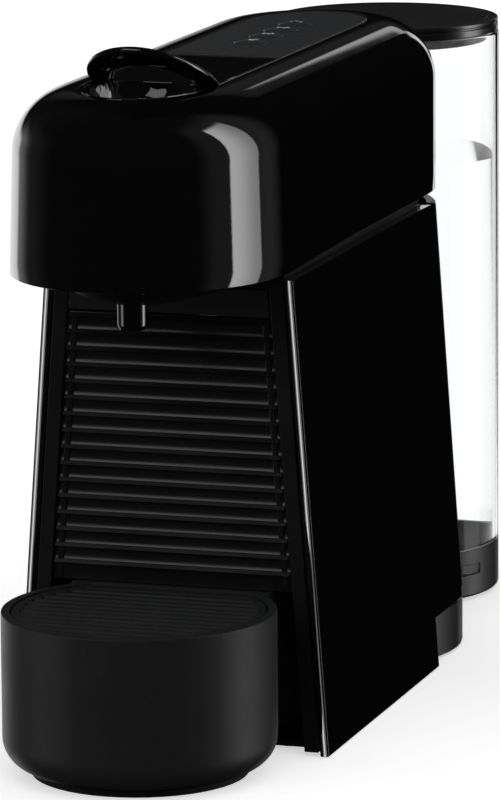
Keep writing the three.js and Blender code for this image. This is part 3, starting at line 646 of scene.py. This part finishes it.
def cup_icon(size):
    """A cup with its handle on a line, for a small, middle or large coffee."""
    rim = [(-size, 1.0), (size, 1.0)]
    bowl = [(-size, 1.0), (-size * 0.85, -0.4), (-size * 0.45, -1.1)]
    bowl += [(-x, y) for x, y in reversed(bowl)]
    return [bowl, rim, arc((size + 0.1, 0.2), 0.75, -80, 80, 8), [(-size * 0.9, -1.9), (size * 0.9, -1.9)]]


def drain_icon():
    """An arrow that points down into an open tray."""
    tray_line = [(-2.2, 1.2), (-2.2, -1.2), (2.2, -1.2), (2.2, 1.2)]
    return [tray_line, [(0, 2.0), (0, 0.1)], [(-0.8, 0.8), (0, 0.0), (0.8, 0.8)]]


def push_buttons():
    """Four domed caps, each with a line icon."""
    for i in range(4):
        low, high = span(f"button_{i + 1}")
        r = (high.x - low.x) / 2
        y, z = (low.y + high.y) / 2, HEAD_TOP
        dome = [(AXIS, low.z), (r, low.z, 0.3), (r, z - 0.05, 0.5)]
        rise = high.z - z
        curve = [(r * k / 10, z + rise * (1 - (k / 10) ** 2)) for k in range(10, -1, -1)]
        dome += [(max(AXIS, a), b, 0.05) for a, b in curve]
        verts, faces = lathe(dome, (0, y), 72, 0.3)
        add_piece(
            f"button_cap_{i + 1}", verts, faces, f"button_{'abcd'[i]}", "button_black",
            [f"button_{i + 1}"], weighted=False,
        )

        def height(p, y=y, z=z, r=r, rise=rise):
            return z + rise * (1 - (p.x**2 + (p.y - y) ** 2) / r**2)

        lines = cup_icon(CUP_SIZES[i]) if i < len(CUP_SIZES) else drain_icon()
        parts = [ribbon([(a, y + b) for a, b in line], 0.4, height) for line in lines]
        verts, faces = several(parts)
        add_piece(f"button_icon_{i + 1}", verts, faces, f"button_{'abcd'[i]}", "icon_grey", weighted=False)


# ---- The body ----
BASE_HALF, TOP_HALF, BODY_TOP = 65.3, 51.3, 191.0
SPLAY = math.atan((BASE_HALF - TOP_HALF) / BODY_TOP)
BODY_FRONT, BODY_REAR = -131.0, 70.0
WINDOW_INSET = 10.9  # from the body's splayed face to the edge of the ribbed front


def body_half(z):
    """Half the body's width between its splayed faces."""
    return BASE_HALF - z * math.tan(SPLAY)


PANEL, CROWN = 4.0, 3.2  # a side panel's thickness and the radius of its crowned front edge


def side_panels():
    """The two splayed plates, notched for the swivel foot, with a crowned front edge."""
    notch_y, notch_z, corner, foot = 28.8, 21.0, 5.0, 0.3
    outline = [(BODY_FRONT, foot), (notch_y, foot), (notch_y, notch_z), (BODY_REAR, notch_z)]
    outline += arc((BODY_REAR - corner, BODY_TOP - corner), corner, 0, 90, 12)
    outline += [(BODY_FRONT, BODY_TOP)]
    for name, side in (("left", -1), ("right", 1)):
        turn = Matrix.Translation((side * BASE_HALF, 0, 0)) @ Matrix.Rotation(-side * SPLAY, 4, "Y")
        low, high = sorted((0.0, -side * PANEL))

        def place(u, v, t, turn=turn):
            if u < BODY_FRONT + 1:
                u += CROWN - math.sqrt(CROWN**2 - (abs(t) - 1.4) ** 2)
            return tuple(turn @ Vector((t, u, v)))

        verts, faces = slab(outline, low, high, place, edge=0.3, crown=0.001)
        add_piece(
            f"splayed_panel_{name}", verts, faces, "machine", "gloss_black_plastic", [f"side_panel_{name}"]
        )


def ribs():
    """The drip unit's front: a sheet with rounded ribs that a rail crosses near each end."""
    low, high = span("ribbed_front")
    count, pitch, height, highest = 16, 6.66, 1.6, high.z - 0.8
    face, nose = low.y + 1.8, low.y
    profile = [(high.y, high.z), (face + 0.3, high.z), (face, high.z - 0.3)]
    for i in range(count):
        top = highest - i * pitch
        profile += [(face, top + 0.25), (face - 0.2, top), (nose + 0.9, top), (nose + 0.1, top - 1.25)]
        profile += [(face - 0.2, top - height), (face, top - height - 0.25)]
    profile += [(face, low.z), (high.y, low.z)]

    def half(z):
        return body_half(z) - WINDOW_INSET

    rings = []
    for share, inset in ((-1, 0.0), (1, 0.0)):
        rings.append([(share * (half(z) - inset), y, z) for y, z in profile])
    parts = [skin(rings)]
    for side in (-1, 1):
        bottom, top = low.z + 1, high.z - 1
        shape = []
        for inset, z in ((1.2, bottom), (3.5, bottom), (3.5, top), (1.2, top)):
            shape.append((side * (half(z) - inset), z))
        parts.append(slab(shape, nose + 1.1, face + 0.5, upright_xz, edge=0.3))
    verts, faces = several(parts)
    add_piece(
        "ribbed_panel", verts, faces, "drip_unit", "rib_black", ["ribbed_front"], sharp=40, weighted=False
    )


def outlet():
    """The belly under the head's nose, and the nozzle that comes through it."""
    rear = span("outlet_cowl")[1].y
    section = [
        (36.6, 187.4), (36.0, 186.8), (35.0, 186.5), (32.0, 187.1), (28.0, 188.2), (24.0, 189.5),
        (20.0, 191.4),
    ]
    section += [(17.0, 193.6), (15.2, 195.2), (14.2, HEAD_BOTTOM - GAP)]

    def bay(inset, z, share):
        half, depth = HEAD_HALF - inset, NOSE_DEPTH - inset
        ring = []
        for i in range(61):
            a = math.pi * (i / 60) - math.pi / 2
            ring.append((half * math.sin(a), NOSE_START - depth * math.cos(a)))
        ring = [(-half, rear)] + ring + [(half, rear)]
        return [(x, y, lifted(z, y, share)) for x, y in ring]

    rings = [bay(inset, z, k / (len(section) - 1)) for k, (inset, z) in enumerate(section)]
    verts, faces = skin(rings)
    add_piece("outlet_belly", verts, faces, "machine", "satin_black_plastic", ["outlet_cowl"], sharp=50)
    low = span("coffee_outlet")[0]
    y, r, bore, top = -174.0, 5.9, 3.6, 201.5
    nozzle = [
        (bore, low.z + 1.5), (bore, low.z, 0.3), (r - 0.9, low.z, 0.5), (r, low.z + 1.8, 0.8),
        (r, top), (bore, top),
    ]
    verts, faces = lathe(nozzle, (0, y), 64, 0.4)
    add_piece("outlet_nozzle", verts, faces, "machine", "gloss_black_plastic", ["coffee_outlet"])


def backplate():
    """The fixed wall above the ribs, behind the outlet."""
    low, high = span("outlet_backplate")
    inset = WINDOW_INSET
    outline = [(-body_half(low.z) + inset, low.z), (body_half(low.z) - inset, low.z)]
    outline += [(body_half(high.z) - inset, high.z), (-body_half(high.z) + inset, high.z)]
    verts, faces = slab(outline, low.y, high.y, upright_xz, edge=0.45)
    add_piece("outlet_wall", verts, faces, "machine", "wall_black", ["outlet_backplate"])


# ---- The drip unit ----
TRAY_Y = -170.0


def tray():
    """The round cup of the drip tray, and the flat wall that closes its back."""
    low, high = span("drip_tray")
    r, well, corner = 54.0, 50.4, 12
    cut_y = -132.2
    rounded = arc((r - corner, low.z + corner), corner, 0, -90, 14)
    wall = [
        (AXIS, low.z + 3), (well - 8, low.z + 3, 3), (well, low.z + 12, 6), (well, high.z, 0.5),
        (r, high.z, 0.9),
    ]
    wall += [(a, b, 0.1) for a, b in rounded] + [(AXIS, low.z)]
    verts, faces = lathe(wall, (0, TRAY_Y), 160, 0.5)
    piece = add_piece("round_tray", verts, faces, "drip_unit", "tray_black", ["drip_tray"])
    carve(piece, [block((-90, 90), (cut_y, 0), (-5, 90))])
    half = math.sqrt(well**2 - (cut_y - TRAY_Y) ** 2) + 8
    outline = [(-half, low.z + 4), (half, low.z + 4), (half, high.z), (-half, high.z)]
    verts, faces = slab(outline, -132.1, high.y, upright_xz, edge=0.6)
    add_piece("tray_back", verts, faces, "drip_unit", "tray_black")


def grille():
    """The slatted plate: its rim, its rounded bars and the spines that tie them."""
    low, high = span("drip_grille")
    r, field, rear = 50.0, 46.6, -135.2
    pitch, slot, first = 6.55, 3.3, -209.9
    ring = [(field, low.z), (r, low.z), (r, high.z, 0.7), (field, high.z, 0.7)]
    verts, faces = lathe(ring, (0, TRAY_Y), 144, 0.5)
    piece = add_piece("grille_rim", verts, faces, "grille", "tray_black", ["drip_grille"])
    carve(piece, [block((-90, 90), (rear, 0), (-5, 90))])
    parts = []
    width = pitch - slot
    for i in range(13):
        y = first - pitch / 2 + i * pitch
        reach = field**2 - (abs(y - TRAY_Y) - 0.3 * width) ** 2
        if reach <= 4 or y > rear - 1:
            continue
        half = math.sqrt(reach) + 0.6
        section = [(y - width / 2, low.z), (y - width / 2, high.z - 0.9)]
        section += arc((y, high.z - 1.15), width / 2, 170, 10, 10)
        section += [(y + width / 2, high.z - 0.9), (y + width / 2, low.z)]
        top = high.z - 0.15
        section = [(a, min(b, top)) for a, b in section]
        parts.append(skin([[(x, a, b) for a, b in section] for x in (-half, half)]))
    for x in (-15, 15):
        outline = [
            (x - 0.9, TRAY_Y - 43.5), (x + 0.9, TRAY_Y - 43.5), (x + 0.9, rear - 1), (x - 0.9, rear - 1)
        ]
        parts.append(slab(outline, low.z, high.z - 1.1, flat_xy, edge=0.3))
    bar = [(-36.5, rear - 2.2), (36.5, rear - 2.2), (36.5, rear), (-36.5, rear)]
    parts.append(slab(bar, low.z, high.z - 0.1, flat_xy, edge=0.5))
    verts, faces = several(parts)
    add_piece("grille_bars", verts, faces, "grille", "tray_black", sharp=45, weighted=False)


# ---- The tank ----
def tank():
    """The clear tank, the water in it and its lid."""
    low, high = span("water_tank")
    x, y = 0.0, (low.y + high.y) / 2
    r = (high.y - low.y) / 2
    wall = 2.0
    inner = r - wall
    shell = [
        (AXIS, low.z), (r, low.z, 3.5), (r, high.z, 0.9), (inner, high.z, 0.9), (inner, low.z + 3, 3.0),
        (AXIS, low.z + 3),
    ]
    verts, faces = lathe(shell, (x, y), 144, 0.8)
    add_piece("clear_tank", verts, faces, "tank", "clear_plastic", ["water_tank"], weighted=False)
    level = 194.8
    water = [
        (AXIS, low.z + 3.15), (inner - 0.15, low.z + 3.15, 2.8), (inner - 0.15, level, 0.4), (AXIS, level)
    ]
    verts, faces = lathe(water, (x, y), 144, 0.4)
    add_piece("tank_water", verts, faces, "tank", "water", weighted=False)

    low, high = span("tank_lid")
    r = (high.y - low.y) / 2
    seat, seam = 249.9, 253.35
    skirt = (41.4, 44.4)
    profile = [
        (AXIS, low.z + 1.5), (skirt[0], low.z + 1.5), (skirt[0], low.z, 0.3), (skirt[1], low.z, 0.5),
        (skirt[1], seat, 0.3),
    ]
    profile += [
        (r, seat, 0.5), (r, seam - 0.45, 0.4), (r - 0.8, seam - 0.3, 0.1), (r - 0.8, seam + 0.3, 0.1)
    ]
    profile += [
        (r, seam + 0.45, 0.4), (r, high.z - 0.4, 1.0), (r - 4, high.z, 0.6), (r - 5.2, high.z - 0.5, 0.5),
        (AXIS, high.z - 0.5),
    ]
    verts, faces = lathe(profile, (x, y), 144, 0.4)
    add_piece("lid_disc", verts, faces, "lid", "lid_black", ["tank_lid"])


GLAND_X, GLAND_Z, GLAND_FLOOR = -34, 40, 97  # the centre and the floor of the cord gland's pocket


def rear_cover():
    """The rounded back, with its vents and the pocket of the cord gland."""
    low, high = span("back_cover")
    flush = HEAD_HALF - body_half(high.z)
    wall = 3.0
    start = BODY_REAR + GAP

    def open_ring(inset, z):
        half, depth = body_half(z) + flush - inset, TAIL_DEPTH - inset
        stop = math.acos(min(1.0, (start - TAIL_START) / depth))
        ring = []
        for i in range(73):
            a = stop * (2 * i / 72 - 1)
            ring.append((half * math.sin(a), TAIL_START + depth * math.cos(a), z))
        return ring

    outer = [open_ring(0.5, low.z), open_ring(0.1, low.z + 0.4), open_ring(0, low.z + 1)]
    outer += [open_ring(0, low.z + 1 + (high.z - low.z - 2) * k / 8) for k in range(1, 9)]
    outer += [open_ring(0.1, high.z - 0.4), open_ring(0.5, high.z), open_ring(wall + 1, high.z)]
    rings = outer + [open_ring(wall, high.z - wall), open_ring(wall, low.z)]
    count = len(rings[0])
    verts = [p for ring in rings for p in ring]
    faces = []
    for k in range(len(rings)):
        a, b = k * count, ((k + 1) % len(rings)) * count
        faces += [(a + i, a + i + 1, b + i + 1, b + i) for i in range(count - 1)]
    faces.append(tuple(k * count for k in range(len(rings))))
    faces.append(tuple(k * count + count - 1 for k in reversed(range(len(rings)))))
    piece = add_piece("rear_shell", verts, faces, "machine", "satin_black_plastic", ["back_cover"])
    cuts = []
    vent_half, end, vents, pitch, lowest = 25, 1.25, 8, 7, 120
    for i in range(vents):
        z = lowest + pitch * i + end
        outline = arc((vent_half - end, z), end, -90, 90, 6) + arc((end - vent_half, z), end, 90, 270, 6)
        cuts.append(skin([[(u, t, v) for u, v in outline] for t in (80, 130)]))
    x, z, depth_y = GLAND_X, GLAND_Z, GLAND_FLOOR
    pocket = block((x - 10, x + 10), (depth_y, 130), (z - 9, z + 9))
    carve(piece, [*cuts, pocket])
    inside = 1.2
    top = z + 12
    half, depth = body_half(top) + flush - inside, TAIL_DEPTH - inside
    plan = [(x + 13, depth_y - 4), (x - 13, depth_y - 4)]
    plan += [(u, TAIL_START + depth * math.sqrt(1 - (u / half) ** 2)) for u in range(x - 13, x + 14, 2)]
    verts, faces = slab(plan, z - 12, top, flat_xy, edge=0.3)
    liner = add_piece("gland_pocket", verts, faces, "machine", "satin_black_plastic")
    points, sides = rod(6.3, x, z, (depth_y - 12, depth_y + 8))
    bore = ([(u, along, v) for u, v, along in points], sides)
    carve(liner, [pocket, bore])


head_shell()
finger_bowl()
lever_piece()
control_panel()
push_buttons()
side_panels()
ribs()
outlet()
backplate()
tray()
grille()
tank()
rear_cover()

# ---- Studio ----
def environment():
    """White to the camera, a soft sky to matt surfaces, and softboxes on black to glossy ones."""
    world = bpy.data.worlds.new("studio")
    bpy.context.scene.world = world
    t = Tree(world)
    split = t.tree.nodes.new("ShaderNodeSeparateXYZ")
    t.tree.links.new(t.add("TexCoord", out=0), split.inputs[0])
    x, y, z = split.outputs
    azimuth = t.math("MULTIPLY", t.math("ARCTAN2", x, t.math("MULTIPLY", y, -1.0)), 57.29578)
    elevation = t.math("MULTIPLY", t.math("ARCSINE", z), 57.29578)

    def window(value, low, high, soft):
        rise = t.ramp(value, low - soft, low + soft)
        fall = t.ramp(value, high - soft, high + soft, 1.0, 0.0)
        return t.math("MULTIPLY", rise, fall)

    def card(level, az, el, soft_az, soft_el):
        shape = t.math("MULTIPLY", window(azimuth, *az, soft_az), window(elevation, *el, soft_el))
        return t.math("MULTIPLY", shape, level)

    right_level = t.ramp(azimuth, 104, 129, 5.6, 1.9)
    left_level = t.ramp(azimuth, -160, -134, 0.95, 1.7)
    behind = t.math("ABSOLUTE", azimuth)
    rear_line = t.math("MULTIPLY", window(behind, 177.2, 200, 0.6), window(elevation, -30, 14, 2))
    cards = [
        card(t.math("MULTIPLY", right_level, 1.2), (104, 129), (-25, 44), 0.8, 2.5),
        card(0.14, (84, 146), (-30, 55), 9, 8),
        card(left_level, (-160, -127), (-30, 3), 3.5, 2.5),
        card(0.5, (-130, -114), (-30, 9), 9, 5),
        card(0.06, (-120, -85), (-30, 20), 14, 8),
        card(0.9, (-181, -171), (15.2, 17.4), 0.8, 0.5),
        card(0.03, (-181, -150), (10, 24), 6, 3),
        t.math("MULTIPLY", rear_line, 1.6),
    ]
    glow = t.ramp(behind, 118, 152, 0.022, 0.003)
    for one in cards:
        glow = t.math("ADD", glow, one)
    glossy = t.add("Background", Color=(1, 1, 1, 1), Strength=glow)
    sky = t.add("Background", Color=(1, 1, 1, 1), Strength=t.ramp(elevation, -25, 60, 0.22, 0.7))
    white = t.add("Background", Color=(1, 1, 1, 1), Strength=1.02)
    path = t.tree.nodes.new("ShaderNodeLightPath").outputs
    mixed = t.add("MixShader", i0=path["Is Diffuse Ray"], i1=white, i2=sky)
    mixed = t.add("MixShader", i0=path["Is Glossy Ray"], i1=mixed, i2=glossy)
    mixed = t.add("MixShader", i0=path["Is Transmission Ray"], i1=mixed, i2=white)
    t.tree.links.new(mixed, t.tree.nodes.new("ShaderNodeOutputWorld").inputs[0])


def floor():
    """A pale ground that only the camera sees."""
    mesh = bpy.data.meshes.new("floor")
    size = 6
    mesh.from_pydata(
        [(-size, -size, 0), (size, -size, 0), (size, size, 0), (-size, size, 0)], [], [(0, 1, 2, 3)]
    )
    plane = bpy.data.objects.new("floor", mesh)
    bpy.context.scene.collection.objects.link(plane)
    plane.location.z = -0.0002
    material = bpy.data.materials.new("pale_floor")
    t = Tree(material)
    place = t.add("TexCoord", out=3)
    tone = t.ramp(t.noise(place, 3.0), 0.3, 0.7, 0.5, 0.56)
    matt = t.add("BsdfDiffuse", Color=(0.8, 0.8, 0.8, 1), Roughness=0.6)
    lit = t.add("Emission", Color=(1, 1, 1, 1), Strength=tone)
    both = t.add("AddShader", i0=matt, i1=lit)
    t.tree.links.new(both, t.tree.nodes.new("ShaderNodeOutputMaterial").inputs[0])
    mesh.materials.append(material)
    plane.visible_glossy = False
    plane.visible_diffuse = False
    plane.visible_transmission = False


def softbox(name, azimuth, elevation, distance, width, height, watts, receivers):
    """An area light that looks at the machine and lights only some of its pieces."""
    data = bpy.data.lights.new(name, "AREA")
    data.shape = "RECTANGLE"
    data.size = width
    data.size_y = height
    data.energy = watts
    light = bpy.data.objects.new(name, data)
    bpy.context.scene.collection.objects.link(light)
    a, e = math.radians(azimuth), math.radians(elevation)
    back = Vector((math.sin(a) * math.cos(e), -math.cos(a) * math.cos(e), math.sin(e)))
    aim = Vector((0, -0.06, 0.12))
    light.location = aim + back * distance
    light.rotation_euler = back.to_track_quat("Z", "Y").to_euler()
    group = bpy.data.collections.new(name + "_receivers")
    for piece in receivers:
        group.objects.link(piece)
    light.light_linking.receiver_collection = group


environment()
floor()
meshes = [o for o in bpy.context.scene.objects if o.type == "MESH" and o.name not in ("head_shell", "floor")]
panels = [o for o in meshes if o.name.startswith("splayed_panel")]
grips = [o for o in meshes if o.name in ("lever_loop", "finger_bowl")]
satin = [o for o in meshes if o not in panels and o not in grips]
softbox("front_softbox", -18, 28, 2.2, 1.4, 1.0, 7, satin)
softbox("left_softbox", -62, -4, 1.8, 0.7, 1.2, 6, satin)
softbox("grip_softbox", -25, 48, 1.6, 1.0, 0.7, 5, grips)
softbox("edge_softbox", -20, 2, 1.5, 0.45, 1.5, 26, panels)
softbox("edge_wash", -18, 2, 1.5, 1.5, 1.5, 24, panels)
bpy.context.scene.view_settings.view_transform = "Standard"
